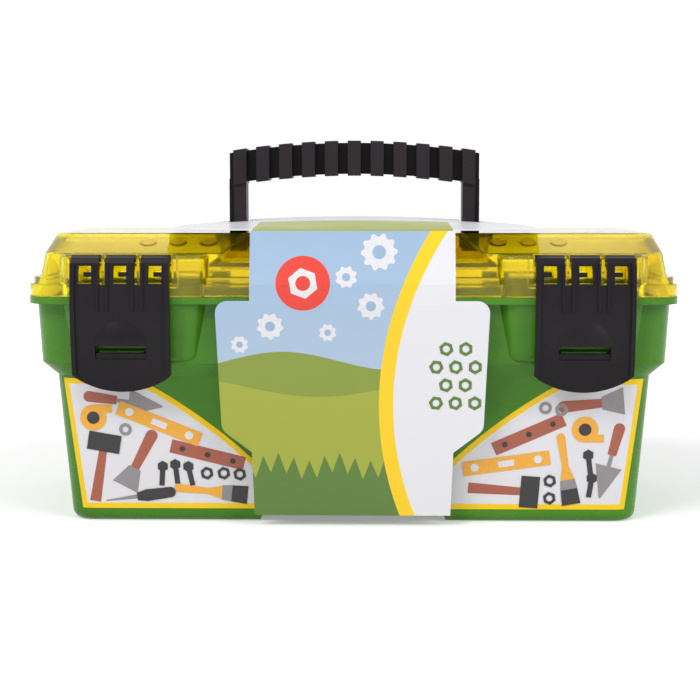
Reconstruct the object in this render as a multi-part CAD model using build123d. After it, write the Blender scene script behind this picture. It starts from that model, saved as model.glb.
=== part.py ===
from build123d import *
import math
import os

os.makedirs("parts", exist_ok=True)

# A toy tool box: a tapered tub, a clear lid hinged at the back, two latches that hang on bars of
# the lid, a folding handle in a recess of the lid, two labels and a printed card over the front.
# Millimetres, +Z up, +X to the right seen from the front, +Y to the back.

# Rim, where tub and lid meet
rim_width = 320.0
rim_depth = 154.0
rim_corner = 14.0
rim_height = 115.0
rim_thickness = 3.4
rim_gap = 0.3
rim_lip = 0.3

# Tub: each level stands this far inside the rim at its sides and at its front and back, and this
# far below it
tub_wall = 2.2
mouth_side_setback = 2.5
mouth_front_setback = 6.5
shoulder_side_setback = 4.25
shoulder_front_setback = 7.5
shoulder_drop = 33.4
waist_side_setback = 10.75
waist_front_setback = 13.0
waist_drop = 40.4
foot_side_setback = 16.0
foot_front_setback = 18.5
foot_corner = 13.0
foot_round = 4.5
channel_width = 94.0
channel_height = 3.0
channel_round = 2.0

# Latch housings, which stand out of the front of the tub and of the lid
housing_side_setback = 52.5
housing_width = 74.0
housing_front_setback = 1.0
housing_corner = 10.0
housing_draft = 4.0
housing_round = 4.5
housing_drop = 32.5

# Lid: its levels stand inside the rim like the tub's, and this far above it
lid_wall = 2.0
lid_rise = 30.3
lid_foot_side_setback = 2.2
lid_foot_front_setback = 8.0
lid_shoulder_rise = 20.7
lid_shoulder_side_setback = 6.2
lid_shoulder_front_setback = 10.0
lid_crown_side_setback = 8.5
lid_crown_front_setback = 30.2
lid_round = 3.0
lid_flange_thickness = 5.9
lid_step_height = 9.0
lid_step_reach = 1.4
lid_housing_round = 2.5
scoop_floor_rise = 15.8
scoop_side_slope = 20.5
scoop_floor_setback = 8.5
scoop_crown_setback = 39.0

# Back hinges
hinge_side_setback = 65.0
hinge_stand_off = 5.0
knuckle_radius = 4.0
knuckle_width = 10.0
lid_knuckle_width = 20.0
knuckle_gap = 0.4
hinge_pin_radius = 1.5
hinge_pin_fit = 0.04
hinge_head_radius = 2.6
hinge_head_length = 1.2

# Latches: heights are above or below the rim
latch_side_setback = 47.3
latch_width = 48.0
latch_thickness = 2.8
latch_gap = 1.0
latch_belly_drop = 9.0
latch_bow_radius = 150.0
latch_bottom_drop = 39.6
latch_tab_drop = 6.9
latch_tab_margin = 1.5
latch_finger_count = 3
latch_finger_width = 13.9
latch_finger_slot_rise = 6.3
latch_window_width = 6.6
latch_window_floor_rise = 6.8
latch_window_top_rise = 15.8
latch_slot_width = 25.0
latch_slot_height = 6.8
latch_slot_drop = 26.7
latch_edge_rib = 1.4
latch_edge_rib_width = 2.2
latch_finger_rib = 0.8
latch_finger_rib_width = 1.4
latch_finger_rib_drop = 6.2
latch_dome_radius = 14.0
latch_dome_reach = 2.6
latch_bar_radius = 1.8
latch_bar_fit = 0.06
latch_bar_setback = 7.8
latch_bar_rise = 16.9
latch_ring_radius = 3.8
latch_pocket_depth = 9.5
latch_pocket_floor_gap = 0.2
latch_pocket_side_gap = 0.9
pocket_slot_width = 4.2
pocket_slot_height = 2.4
pocket_slot_rise = 11.1
catch_width = 22.0
catch_height = 2.6
catch_gap = 0.4
catch_rise = 0.4

# Handle
handle_width = 132.4
handle_finger_room = 29.9
handle_leg_width = 9.0
handle_leg_depth = 12.0
handle_leg_rib_width = 6.4
handle_grip_depth = 15.0
handle_core_depth = 6.0
handle_grip_height = 17.3
handle_arch_rise = 5.4
handle_rib_count = 11
handle_rib_width = 6.9
handle_rib_reach = 1.0
handle_pivot_drop = 9.0
handle_pin_radius = 2.5
handle_pin_fit = 0.05
handle_pin_head_radius = 4.0
handle_pin_head_length = 1.2
handle_socket_radius = 5.0
handle_socket_length = 5.0
recess_side_gap = 2.5
recess_front_gap = 3.0
recess_back_gap = 3.0
recess_floor_gap = 1.0

# Labels
label_thickness = 0.2
label_inner_edge = 49.5
label_low_gap = 7.0
label_outer_gap = 4.5
label_floor_height = 6.6
label_waist_gap = 1.0
label_shoulder_gap = 42.25
label_inner_rise = 25.0
label_bulge = 2.4

# Printed card
card_thickness = 0.6
card_gap = 0.8
card_crown_gap = 2.0
card_fold_setback = 7.0
card_neck_width = 100.0
card_ear_width = 134.0
card_ear_drop = 1.5
card_ear_length = 64.2
card_ear_draft = 2.5
card_ear_slope = 11.4
card_ear_round = 6.0
card_waist_width = 99.6
card_floor_width = 97.4
card_floor_height = 5.6
card_floor_setback = 8.0
card_crown_margin = 43.0
card_crown_back = 9.0
card_crown_rise = 4.6
card_slot_gap = 1.0

# Cutters run past what they cut by this much
overrun = 1.0


def plate(width, depth, corner, height):
    """A rounded rectangle lying flat at a height."""
    return Pos(0, 0, height) * RectangleRounded(width, depth, corner)


def tapered(sizes, inset):
    """A straight-sided body through (width, depth, corner, height) rows, drawn in by inset."""
    rows = [plate(w - 2 * inset, d - 2 * inset, c - inset, z) for w, d, c, z in sizes]
    pairs = zip(rows, rows[1:])
    return Part() + [loft([low, high], ruled=True) for low, high in pairs]


def block(x, y, z):
    """A box from (low, high) pairs along each axis."""
    size = (x[1] - x[0], y[1] - y[0], z[1] - z[0])
    middle = Pos((x[0] + x[1]) / 2, (y[0] + y[1]) / 2, (z[0] + z[1]) / 2)
    return middle * Box(*size)


def rod(radius, x, y, z):
    """A cylinder along X from a low to a high x."""
    return Pos((x[0] + x[1]) / 2, y, z) * Rot(0, 90, 0) * Cylinder(radius, x[1] - x[0])


def along_x(points, x):
    """A prism of a (y, z) outline between two x values."""
    face = make_face(Polyline(*[(x[0], y, z) for y, z in points], close=True))
    return extrude(face, x[1] - x[0], dir=(1, 0, 0))


def along_y(points, y):
    """A prism of an (x, z) outline between two y values."""
    face = make_face(Polyline(*[(px, y[0], z) for px, z in points], close=True))
    return extrude(face, y[1] - y[0], dir=(0, 1, 0))


def both_sides(spacing):
    """The middle of the left and the right copy of a piece."""
    return [-spacing / 2, spacing / 2]


# Places that several pieces share
rim_front = rim_depth / 2
tub_flange_floor = rim_height - rim_thickness
mouth_width = rim_width - 2 * mouth_side_setback
mouth_depth = rim_depth - 2 * mouth_front_setback
shoulder_width = rim_width - 2 * shoulder_side_setback
shoulder_depth = rim_depth - 2 * shoulder_front_setback
shoulder_height = rim_height - shoulder_drop
waist_width = rim_width - 2 * waist_side_setback
waist_depth = rim_depth - 2 * waist_front_setback
waist_height = rim_height - waist_drop
foot_width = rim_width - 2 * foot_side_setback
foot_depth = rim_depth - 2 * foot_front_setback
housing_spacing = rim_width - 2 * housing_side_setback
housing_front = rim_front - housing_front_setback
lid_floor = rim_height + rim_gap
lid_flange_top = lid_floor + lid_flange_thickness
lid_foot_width = rim_width - 2 * lid_foot_side_setback
lid_foot_depth = rim_depth - 2 * lid_foot_front_setback
lid_shoulder_width = rim_width - 2 * lid_shoulder_side_setback
lid_shoulder_depth = rim_depth - 2 * lid_shoulder_front_setback
lid_shoulder_height = rim_height + lid_shoulder_rise
lid_crown_width = rim_width - 2 * lid_crown_side_setback
lid_crown_depth = rim_depth - 2 * lid_crown_front_setback
lid_height = rim_height + lid_rise
hinge_spacing = rim_width - 2 * hinge_side_setback
hinge_axis_back = rim_front + hinge_stand_off
latch_spacing = rim_width - 2 * latch_side_setback
latch_pitch = (latch_width - latch_finger_width) / (latch_finger_count - 1)
latch_front = rim_front + latch_gap + latch_thickness
latch_belly_height = rim_height - latch_belly_drop
latch_bottom_height = rim_height - latch_bottom_drop
latch_slot_middle = rim_height - latch_slot_drop
latch_bar_back = latch_front - latch_bar_setback
latch_bar_height = rim_height + latch_bar_rise
handle_pivot_height = lid_height - handle_pivot_drop
handle_top_height = lid_height + handle_finger_room + handle_grip_height
handle_reach = handle_top_height - handle_pivot_height
recess_half = handle_width / 2 + recess_side_gap
recess_floor = handle_pivot_height - handle_grip_depth / 2 - handle_rib_reach - recess_floor_gap
recess_front = -handle_leg_depth / 2 - recess_front_gap
recess_back = handle_reach + recess_back_gap


def housing(middle, inset, low, high):
    """One latch housing, from a height to a height, drawn in by inset."""
    width = housing_width - 2 * inset
    back = -mouth_depth / 4
    front = -housing_front + inset
    top = block(
        (middle - width / 2, middle + width / 2), (front, back), (high, high + overrun)
    )
    top_face = top.faces().sort_by(Axis.Z)[0]
    shrink = housing_draft
    low_box = block(
        (middle - width / 2 + shrink, middle + width / 2 - shrink),
        (front + shrink, back),
        (low, low + overrun),
    )
    low_face = low_box.faces().sort_by(Axis.Z)[0]
    body = loft([low_face, top_face], ruled=True)
    uprights = [e for e in body.edges() if abs(e.tangent_at(0.5).Z) > abs(e.tangent_at(0.5).X)]
    fronts = sorted(uprights, key=lambda e: e.center().Y)[:2]
    body = fillet(fronts, housing_corner - inset)
    sole = [e for e in body.faces().sort_by(Axis.Z)[0].edges() if e.center().Y < back - overrun]
    return fillet(sole, housing_round - inset)


def tub_form(inset, floor):
    """The tub's body without its rim, drawn in by inset and standing on floor."""
    slope_share = floor / waist_height
    lower = tapered(
        [
            (
                foot_width + (waist_width - foot_width) * slope_share,
                foot_depth + (waist_depth - foot_depth) * slope_share,
                foot_corner,
                floor,
            ),
            (waist_width, waist_depth, foot_corner, waist_height),
        ],
        inset,
    )
    lower = fillet(lower.faces().sort_by(Axis.Z)[0].edges(), foot_round - inset)
    upper = tapered(
        [
            (waist_width, waist_depth, foot_corner, waist_height),
            (shoulder_width, shoulder_depth, foot_corner, shoulder_height),
            (mouth_width, mouth_depth, foot_corner, rim_height),
        ],
        inset,
    )
    form = lower + upper
    for middle in both_sides(housing_spacing):
        form += housing(middle, inset, rim_height - housing_drop + inset, rim_height)
    return form


def make_tub():
    tub = tub_form(0, 0)
    flange = extrude(plate(rim_width, rim_depth, rim_corner, tub_flange_floor), rim_thickness)
    tub += flange
    cavity = tub_form(tub_wall, tub_wall)
    channel_half = channel_width / 2
    bump = block(
        (-channel_half - tub_wall, channel_half + tub_wall),
        (-foot_depth, foot_depth),
        (0, channel_height + tub_wall),
    )
    tub -= cavity - bump
    mouth = extrude(
        plate(
            mouth_width - 2 * tub_wall,
            mouth_depth - 2 * tub_wall,
            foot_corner - tub_wall,
            tub_flange_floor,
        ),
        rim_thickness + overrun,
    )
    tub -= mouth
    channel = block(
        (-channel_half, channel_half), (-foot_depth, foot_depth), (-overrun, channel_height)
    )
    channel_edges = channel.edges().filter_by(Axis.Y).sort_by(Axis.Z)[2:]
    tub -= fillet(channel_edges, channel_round)
    # Hinge knuckles, two for each pin
    for middle in both_sides(hinge_spacing):
        inner = lid_knuckle_width / 2 + knuckle_gap
        for side in (-1, 1):
            ends = sorted((middle + side * inner, middle + side * (inner + knuckle_width)))
            knuckle = rod(knuckle_radius, ends, hinge_axis_back, rim_height)
            arm = block(
                ends, (rim_front - overrun, hinge_axis_back), (tub_flange_floor, rim_height - rim_gap)
            )
            tub += knuckle + arm
            tub -= rod(
                hinge_pin_radius + hinge_pin_fit,
                (ends[0] - overrun, ends[1] + overrun),
                hinge_axis_back,
                rim_height,
            )
    # Catches, one behind each latch's slot
    for middle in both_sides(latch_spacing):
        catch_front = -latch_face(latch_slot_middle, latch_thickness) - catch_gap
        catch_root = housing_front - housing_draft - tub_wall / 2
        low = latch_slot_middle - catch_height / 2 + catch_rise
        wedge = [
            (-catch_root, low - catch_height),
            (-catch_front, low),
            (-catch_front, low + catch_height / 2),
            (-catch_root, low + catch_height),
        ]
        tub += along_x(wedge, (middle - catch_width / 2, middle + catch_width / 2))
    return tub


def scoop(inset):
    """What is cut from the middle of the lid's front."""
    floor = rim_height + scoop_floor_rise - inset
    top = lid_height + overrun
    floor_front = rim_front - scoop_floor_setback - inset
    crown_front = rim_front - scoop_crown_setback - inset
    side = [
        (-rim_front - overrun, floor),
        (-floor_front, floor),
        (-crown_front, top),
        (-rim_front - overrun, top),
    ]
    half_low = (housing_spacing - housing_width) / 2 + inset
    half_top = half_low - scoop_side_slope
    front = [(-half_low, floor), (half_low, floor), (half_top, top), (-half_top, top)]
    return along_x(side, (-half_low, half_low)) & along_y(front, (-rim_front - overrun, 0))


def lid_form(inset, crown_round):
    """The lid's body without its flange, drawn in by inset, with its crown's edges rounded."""
    body = tapered(
        [
            (lid_foot_width, lid_foot_depth, foot_corner, lid_floor),
            (lid_shoulder_width, lid_shoulder_depth, foot_corner, lid_shoulder_height),
            (lid_crown_width, lid_crown_depth, foot_corner, lid_height - inset),
        ],
        inset,
    )
    if crown_round:
        body = fillet(body.faces().sort_by(Axis.Z)[-1].edges(), crown_round)
    for middle in both_sides(housing_spacing):
        half = housing_width / 2 - inset
        top = lid_shoulder_height - inset
        front = -housing_front + inset
        box = block((middle - half, middle + half), (front, 0), (lid_floor, top))
        uprights = box.edges().filter_by(Axis.Z).sort_by(Axis.Y)[:2]
        box = fillet(uprights, housing_corner - inset)
        brow = box.faces().sort_by(Axis.Z)[-1].edges()
        brow = [e for e in brow if e.center().Y < -housing_front / 2]
        body += fillet(brow, max(lid_housing_round - inset, lid_wall / 8))
    body -= scoop(inset)
    body -= block(
        (-recess_half - inset, recess_half + inset),
        (recess_front - inset, recess_back + inset),
        (recess_floor - inset, lid_height + overrun),
    )
    return body


def make_lid():
    lid = lid_form(0, lid_round)
    flange_width = rim_width - 2 * rim_lip
    flange_depth = rim_depth - 2 * rim_lip
    flange = extrude(
        plate(flange_width, flange_depth, rim_corner - rim_lip, lid_floor), lid_flange_thickness
    )
    step = extrude(
        plate(
            lid_foot_width + 2 * lid_step_reach,
            lid_foot_depth + 2 * lid_step_reach,
            foot_corner + lid_step_reach,
            lid_floor,
        ),
        lid_step_height,
    )
    lid += flange + step
    lid -= lid_form(lid_wall, 0)
    # Pockets for the latches' fingers, each with its back and floor, and the bar through them
    for middle in both_sides(latch_spacing):
        pocket_back = -housing_front + latch_pocket_depth
        pocket_floor = lid_flange_top + latch_pocket_floor_gap
        slot_middle = rim_height + pocket_slot_rise
        outer = latch_width / 2 + latch_pocket_side_gap
        lid += block(
            (middle - outer - lid_wall, middle + outer + lid_wall),
            (-housing_front + lid_wall / 2, pocket_back + lid_wall),
            (pocket_floor - lid_wall, lid_shoulder_height - lid_wall / 2),
        )
        for number in range(latch_finger_count):
            at = middle + (number - (latch_finger_count - 1) / 2) * latch_pitch
            half = latch_finger_width / 2 + latch_pocket_side_gap
            lid -= block(
                (at - half, at + half),
                (-housing_front - overrun, pocket_back),
                (pocket_floor, lid_height),
            )
            lid -= block(
                (at - pocket_slot_width / 2, at + pocket_slot_width / 2),
                (pocket_back - overrun, pocket_back + lid_wall + overrun),
                (slot_middle - pocket_slot_height / 2, slot_middle + pocket_slot_height / 2),
            )
        lid += rod(
            latch_bar_radius, (middle - outer, middle + outer), -latch_bar_back, latch_bar_height
        )
    # Sockets for the handle's pins
    for side in (-1, 1):
        wall = sorted((side * recess_half, side * (recess_half + handle_socket_length)))
        hole = sorted((side * (recess_half - overrun), side * (recess_half + handle_socket_length)))
        lid += rod(handle_socket_radius, wall, 0, handle_pivot_height)
        lid -= rod(handle_pin_radius + handle_pin_fit, hole, 0, handle_pivot_height)
    # One hinge knuckle for each pin
    for middle in both_sides(hinge_spacing):
        half = lid_knuckle_width / 2
        ends = (middle - half, middle + half)
        arm = block(
            ends, (rim_front - rim_lip - overrun, hinge_axis_back), (lid_floor, lid_flange_top)
        )
        lid += rod(knuckle_radius, ends, hinge_axis_back, rim_height) + arm
        lid -= rod(
            hinge_pin_radius + hinge_pin_fit,
            (ends[0] - overrun, ends[1] + overrun),
            hinge_axis_back,
            rim_height,
        )
    return lid


def latch_face(height, depth):
    """How far back the latch's bowed plate stands at a height, depth behind its front."""
    radius = latch_bow_radius - depth
    rise = height - latch_belly_height
    return latch_bow_radius - latch_front - math.sqrt(radius**2 - rise**2)


def bowed(front_depth, back_depth, low, high, x):
    """A strip of the latch's bowed plate, between two depths, two heights and two x values."""
    middle = (low + high) / 2

    def bow(depth):
        rows = [(x[0], latch_face(z, depth), z) for z in (low, middle, high)]
        return ThreePointArc(*rows)

    front = bow(front_depth)
    back = bow(back_depth)
    outline = front + back + Line(front @ 0, back @ 0) + Line(front @ 1, back @ 1)
    return extrude(make_face(outline), x[1] - x[0], dir=(1, 0, 0))


def make_latch(middle):
    half = latch_width / 2
    fingers = [
        middle + (number - (latch_finger_count - 1) / 2) * latch_pitch
        for number in range(latch_finger_count)
    ]
    tab_floor = latch_bottom_height - latch_tab_drop
    wide = (middle - half, middle + half)
    body = bowed(0, latch_thickness, tab_floor - overrun, latch_bar_height, wide)
    # The outline seen from the front, with its rounded lower tab
    tab_half = half - latch_tab_margin
    tab_arc = ThreePointArc(
        (middle - tab_half, 0, latch_bottom_height),
        (middle, 0, tab_floor),
        (middle + tab_half, 0, latch_bottom_height),
    )
    corner = latch_bottom_height + latch_tab_margin
    sides = Polyline(
        tab_arc @ 1,
        (middle + half, 0, corner),
        (middle + half, 0, latch_bar_height),
        (middle - half, 0, latch_bar_height),
        (middle - half, 0, corner),
        tab_arc @ 0,
    )
    body &= extrude(make_face(tab_arc + sides), 2 * latch_front, dir=(0, -1, 0))
    # Raised dome over the slot, cut off at the slot's top
    slot_top = latch_slot_middle + latch_slot_height / 2
    ball_radius = (latch_dome_radius**2 + latch_dome_reach**2) / (2 * latch_dome_reach)
    face = latch_face(slot_top, 0)
    ball = Pos(middle, face - latch_dome_reach + ball_radius, slot_top) * Sphere(ball_radius)
    body += ball & block(
        (middle - half, middle + half),
        (face - 2 * latch_dome_reach, face + latch_thickness / 2),
        (slot_top, latch_bar_height),
    )
    # Side ribs, and shorter ribs that run down from the fingers
    for side in (-1, 1):
        ends = sorted((middle + side * half, middle + side * (half - latch_edge_rib_width)))
        rib_floor = latch_bottom_height + latch_tab_margin
        body += bowed(-latch_edge_rib, 0, rib_floor, latch_bar_height, ends)
    for at in fingers:
        for side in (-1, 1):
            edge = at + side * latch_finger_width / 2
            ends = sorted((edge, edge - side * latch_finger_rib_width))
            rib_floor = rim_height - latch_finger_rib_drop
            body += bowed(-latch_finger_rib, 0, rib_floor, latch_bar_height, ends)
    # Slot that the catch stands behind
    slot_floor = latch_slot_middle - latch_slot_height / 2
    through = (-latch_front - latch_dome_reach - overrun, -latch_bar_back)
    body -= block(
        (middle - latch_slot_width / 2, middle + latch_slot_width / 2), through, (slot_floor, slot_top)
    )
    for low, high in zip(fingers, fingers[1:]):
        gap = (low + latch_finger_width / 2, high - latch_finger_width / 2)
        gap_floor = rim_height + latch_finger_slot_rise
        body -= block(gap, through, (gap_floor, latch_bar_height + overrun))
    # Fingers, which curl over the lid's bar, each with its window
    front = latch_face(latch_bar_height, 0)
    for at in fingers:
        ends = (at - latch_finger_width / 2, at + latch_finger_width / 2)
        body += rod(latch_ring_radius, ends, -latch_bar_back, latch_bar_height)
        cap = [
            (-latch_bar_back, latch_bar_height),
            (front, latch_bar_height),
            (front + latch_edge_rib, latch_bar_height + latch_ring_radius - latch_edge_rib),
            (-latch_bar_back, latch_bar_height + latch_ring_radius),
        ]
        body += along_x(cap, ends)
        body -= block(
            (at - latch_window_width / 2, at + latch_window_width / 2),
            (through[0], -latch_bar_back),
            (rim_height + latch_window_floor_rise, rim_height + latch_window_top_rise),
        )
    clear = rod(
        latch_bar_radius + latch_bar_fit,
        (middle - half - overrun, middle + half + overrun),
        -latch_bar_back,
        latch_bar_height,
    )
    mouth = block(
        (middle - half - overrun, middle + half + overrun),
        (-latch_bar_back - latch_bar_radius, -latch_bar_back + latch_ring_radius + overrun),
        (latch_bar_height - latch_ring_radius - overrun, latch_bar_height - latch_bar_fit),
    )
    return body - clear - mouth


def make_handle():
    half = handle_width / 2
    rise = handle_arch_rise
    top = handle_top_height
    floor = top - handle_grip_height

    def bow(height, reach):
        return ThreePointArc(
            (-half, -reach, height - rise), (0, -reach, height), (half, -reach, height - rise)
        )

    def arch(grow, depth):
        upper = bow(top + grow - handle_rib_reach, depth)
        lower = bow(floor - grow, depth)
        outline = upper + lower + Line(upper @ 0, lower @ 0) + Line(upper @ 1, lower @ 1)
        return extrude(make_face(outline), 2 * depth, dir=(0, 1, 0))

    # A thin core carries ribs of the whole depth, so the gaps between them are deep
    handle = arch(0, handle_core_depth / 2)
    ribbed = arch(handle_rib_reach, handle_grip_depth / 2 + handle_rib_reach)
    span = handle_width - 2 * handle_leg_width + handle_leg_rib_width
    pitch = span / (handle_rib_count - 1)
    for number in range(handle_rib_count):
        at = -span / 2 + number * pitch
        tall = (-handle_top_height, 2 * handle_top_height)
        slice_x = (at - handle_rib_width / 2, at + handle_rib_width / 2)
        handle += ribbed & block(slice_x, (-handle_width, handle_width), tall)
    for side in (-1, 1):
        ends = sorted((side * half, side * (half - handle_leg_width)))
        leg_half = handle_leg_depth / 2
        leg_top = floor - rise / 2
        handle += block(ends, (-leg_half, leg_half), (handle_pivot_height, leg_top))
        rib_inner = side * (half - handle_leg_width)
        rib = sorted((rib_inner, rib_inner + side * handle_leg_rib_width))
        proud = leg_half + handle_rib_reach
        handle += block(rib, (-proud, proud), (handle_pivot_height + leg_half, leg_top + rise))
        handle += rod(leg_half, ends, 0, handle_pivot_height)
        hole = (ends[0] - overrun, ends[1] + overrun)
        handle -= rod(handle_pin_radius + handle_pin_fit, hole, 0, handle_pivot_height)
    return handle


def make_hinge_pin(middle):
    reach = lid_knuckle_width / 2 + knuckle_gap + knuckle_width
    side = math.copysign(1, middle)
    outer = middle + side * reach
    inner = middle - side * reach
    pin = rod(hinge_pin_radius, sorted((inner, outer)), hinge_axis_back, rim_height)
    head = sorted((outer, outer + side * hinge_head_length))
    return pin + rod(hinge_head_radius, head, hinge_axis_back, rim_height)


def make_handle_pin(side):
    inner = side * (handle_width / 2 - handle_leg_width)
    outer = side * (recess_half + handle_socket_length)
    pin = rod(handle_pin_radius, sorted((inner, outer)), 0, handle_pivot_height)
    head = sorted((inner, inner - side * handle_pin_head_length))
    return pin + rod(handle_pin_head_radius, head, 0, handle_pivot_height)


def make_label(side):
    """A label on the sloping front of the tub, cut to its outline."""
    top = waist_height - label_waist_gap
    inner_height = label_floor_height + label_inner_rise
    shoulder_x = waist_width / 2 - label_shoulder_gap
    start = (side * (foot_width / 2 - label_low_gap), 0, label_floor_height)
    corner = (side * label_inner_edge, 0, label_floor_height)
    rise = (side * label_inner_edge, 0, inner_height)
    shoulder = (side * shoulder_x, 0, top)
    end = (side * (waist_width / 2 - label_outer_gap), 0, top)
    run = (shoulder_x - label_inner_edge, top - inner_height)
    bulge_share = label_bulge / math.hypot(*run)
    middle = (
        side * ((label_inner_edge + shoulder_x) / 2 - bulge_share * run[1]),
        0,
        (inner_height + top) / 2 + bulge_share * run[0],
    )
    outline = Polyline(end, start, corner, rise) + ThreePointArc(rise, middle, shoulder)
    outline += Line(shoulder, end)
    prism = extrude(make_face(outline), foot_depth, dir=(0, -1, 0))
    rows = [
        (foot_width, foot_depth, foot_corner, 0),
        (waist_width, waist_depth, foot_corner, waist_height),
    ]
    skin = tapered(rows, -label_thickness) - tapered(rows, 0)
    return skin & prism


def card_front_outline():
    """The card's front as a face seen from the front, with its two rounded ears."""
    neck = card_neck_width / 2
    ear = card_ear_width / 2
    top = lid_height + card_crown_gap + overrun
    ear_top = rim_height - card_ear_drop
    ear_floor = ear_top - card_ear_length
    half = [
        (neck, top),
        (neck, ear_top),
        (ear, ear_top),
        (ear - card_ear_draft, ear_floor),
        (card_waist_width / 2, ear_floor - card_ear_slope),
        (card_floor_width / 2, card_floor_height),
    ]
    outline = half + [(-x, z) for x, z in reversed(half)]
    face = make_face(Polyline(*[(x, -rim_depth, z) for x, z in outline], close=True))
    ear_tips = [v for v in face.vertices() if abs(v.X) > neck + card_ear_draft]
    return fillet(ear_tips, card_ear_round)


def make_card():
    front = rim_front + card_gap
    crown = lid_height + card_crown_gap
    fold_front = rim_front - card_fold_setback
    floor_front = rim_front - card_floor_setback
    t = card_thickness
    profile = [
        (-fold_front, crown),
        (-front, lid_flange_top),
        (-front, tub_flange_floor),
        (-floor_front, card_floor_height),
        (-floor_front - t, card_floor_height),
        (-front - t, tub_flange_floor),
        (-front - t, lid_flange_top + t / 2),
        (-fold_front - t / 2, crown + t),
        (-fold_front, crown + t),
    ]
    half = card_ear_width / 2 + overrun
    sheet = along_x(profile, (-half, half))
    sheet &= extrude(card_front_outline(), rim_depth, dir=(0, 1, 0))
    # Top panel, flat at the fold and bowed up at its back edge
    reach = card_neck_width / 2 + card_crown_margin
    strip = make_face(
        Polyline(
            (-reach, -fold_front, crown),
            (reach, -fold_front, crown),
            (reach, -fold_front, crown + t),
            (-reach, -fold_front, crown + t),
            close=True,
        )
    )

    def bow(height):
        return ThreePointArc(
            (-reach, card_crown_back, height),
            (0, card_crown_back, height + card_crown_rise),
            (reach, card_crown_back, height),
        )

    low = bow(crown)
    high = bow(crown + t)
    arched = make_face(low + high + Line(low @ 0, high @ 0) + Line(low @ 1, high @ 1))
    sheet += loft([strip, arched], ruled=True)
    # Slots for the handle's legs, open to the back so that the handle folds
    for side in (-1, 1):
        inner = handle_width / 2 - handle_leg_width - card_slot_gap
        outer = handle_width / 2 + card_slot_gap
        sheet -= block(
            sorted((side * inner, side * outer)),
            (-handle_leg_depth / 2 - card_slot_gap, card_crown_back + overrun),
            (lid_height - overrun, handle_top_height),
        )
    return sheet


pieces = {
    "tub": make_tub(),
    "lid": make_lid(),
    "latch_left": make_latch(-latch_spacing / 2),
    "latch_right": make_latch(latch_spacing / 2),
    "handle": make_handle(),
    "handle_pin_left": make_handle_pin(-1),
    "handle_pin_right": make_handle_pin(1),
    "hinge_pin_left": make_hinge_pin(-hinge_spacing / 2),
    "hinge_pin_right": make_hinge_pin(hinge_spacing / 2),
    "label_left": make_label(-1),
    "label_right": make_label(1),
    "card_sleeve": make_card(),
}

# The origin is under the middle of the whole box, so the depth is centred before writing
front_reach = -min(piece.bounding_box().min.Y for piece in pieces.values())
back_reach = hinge_axis_back + knuckle_radius
centring = (front_reach - back_reach) / 2

for name, piece in pieces.items():
    export_step(Pos(0, centring, 0) * piece, f"parts/{name}.step")

print("centring", centring)
print("lid hinge", hinge_axis_back + centring, rim_height)
print("latch bar", -latch_bar_back + centring, latch_bar_height)
print("handle pivot", centring, handle_pivot_height)
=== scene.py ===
"""Dresses a toy tool box: plastics for its tub, lid, latches and handle, the print on its card and
labels, and the stage that it is photographed on."""
import math

import bmesh
import bpy
from mathutils import Matrix, Vector


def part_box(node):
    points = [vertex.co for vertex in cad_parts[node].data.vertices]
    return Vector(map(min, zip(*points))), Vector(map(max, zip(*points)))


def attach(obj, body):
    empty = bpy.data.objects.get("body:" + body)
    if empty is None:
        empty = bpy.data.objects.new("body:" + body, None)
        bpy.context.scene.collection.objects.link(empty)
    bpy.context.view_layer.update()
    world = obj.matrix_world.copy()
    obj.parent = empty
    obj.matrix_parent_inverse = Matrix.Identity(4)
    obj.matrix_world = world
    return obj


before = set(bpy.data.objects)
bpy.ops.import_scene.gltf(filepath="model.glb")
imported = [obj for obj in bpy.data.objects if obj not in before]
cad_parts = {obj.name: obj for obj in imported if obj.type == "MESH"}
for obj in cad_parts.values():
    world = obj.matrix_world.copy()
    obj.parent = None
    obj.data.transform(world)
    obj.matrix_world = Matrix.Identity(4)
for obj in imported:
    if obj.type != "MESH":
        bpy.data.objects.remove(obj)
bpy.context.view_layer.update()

bl_info = {
    "name": "Toy tool box",
    "version": (1, 0, 0),
    "blender": (4, 5, 0),
    "location": "3D View > Sidebar > Tool Box",
    "description": "Finishes, prints and stage for a toy tool box",
    "category": "Object",
}

MM = 0.001

# Depths in this file count from the middle of the tub, which lies at this depth in the frame
DEPTH_SHIFT = -1.6416

# Round marks on the lid's roof, in millimetres: two points of the roof's slope as (depth, height),
# then the marks' own sizes and where they stand along the lid
ROOF_SLOPE = ((-67, 135.7), (-46.8, 145.3))
MARK_ALONG = 0.55
MARK_PROUD = 0.1
MARK_RADIUS = 4.4
MARK_BORDER = 1.2
MARK_RISE = 0.2
MARK_SINK = 0.3
MARK_FIRST = 72
MARK_PITCH = 15

# Tongues in the latch windows and the lip in the latch slot, in millimetres
LATCH_PITCH = 17.05
TONGUE_ENDS = (3.6, -0.8)
TONGUE_DEPTHS = (-80.0, -78.6)
TONGUE_HEIGHTS = (125.1, 127.4)
TONGUE_ROUND = 0.35
LIP_HALF = 12.8
LIP_HEIGHTS = (84.6, 88.0)

# Ribs of the handle, in millimetres, that place the painted shade between them
RIB_PITCH = 12.08
RIB_HALF = 3.5

# Outline of the labels as (x outwards, z), and the width of their border, in millimetres
LABEL_CURVE = ((49.5, 31.6), (76.8, 54.5), (107.0, 73.6))
LABEL_OUTER = ((137.0, 6.6), (144.75, 73.6))
LABEL_BORDER = 2.8
LABEL_INKS = ("wood", "grey", "orange", "ink", "paper")

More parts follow.
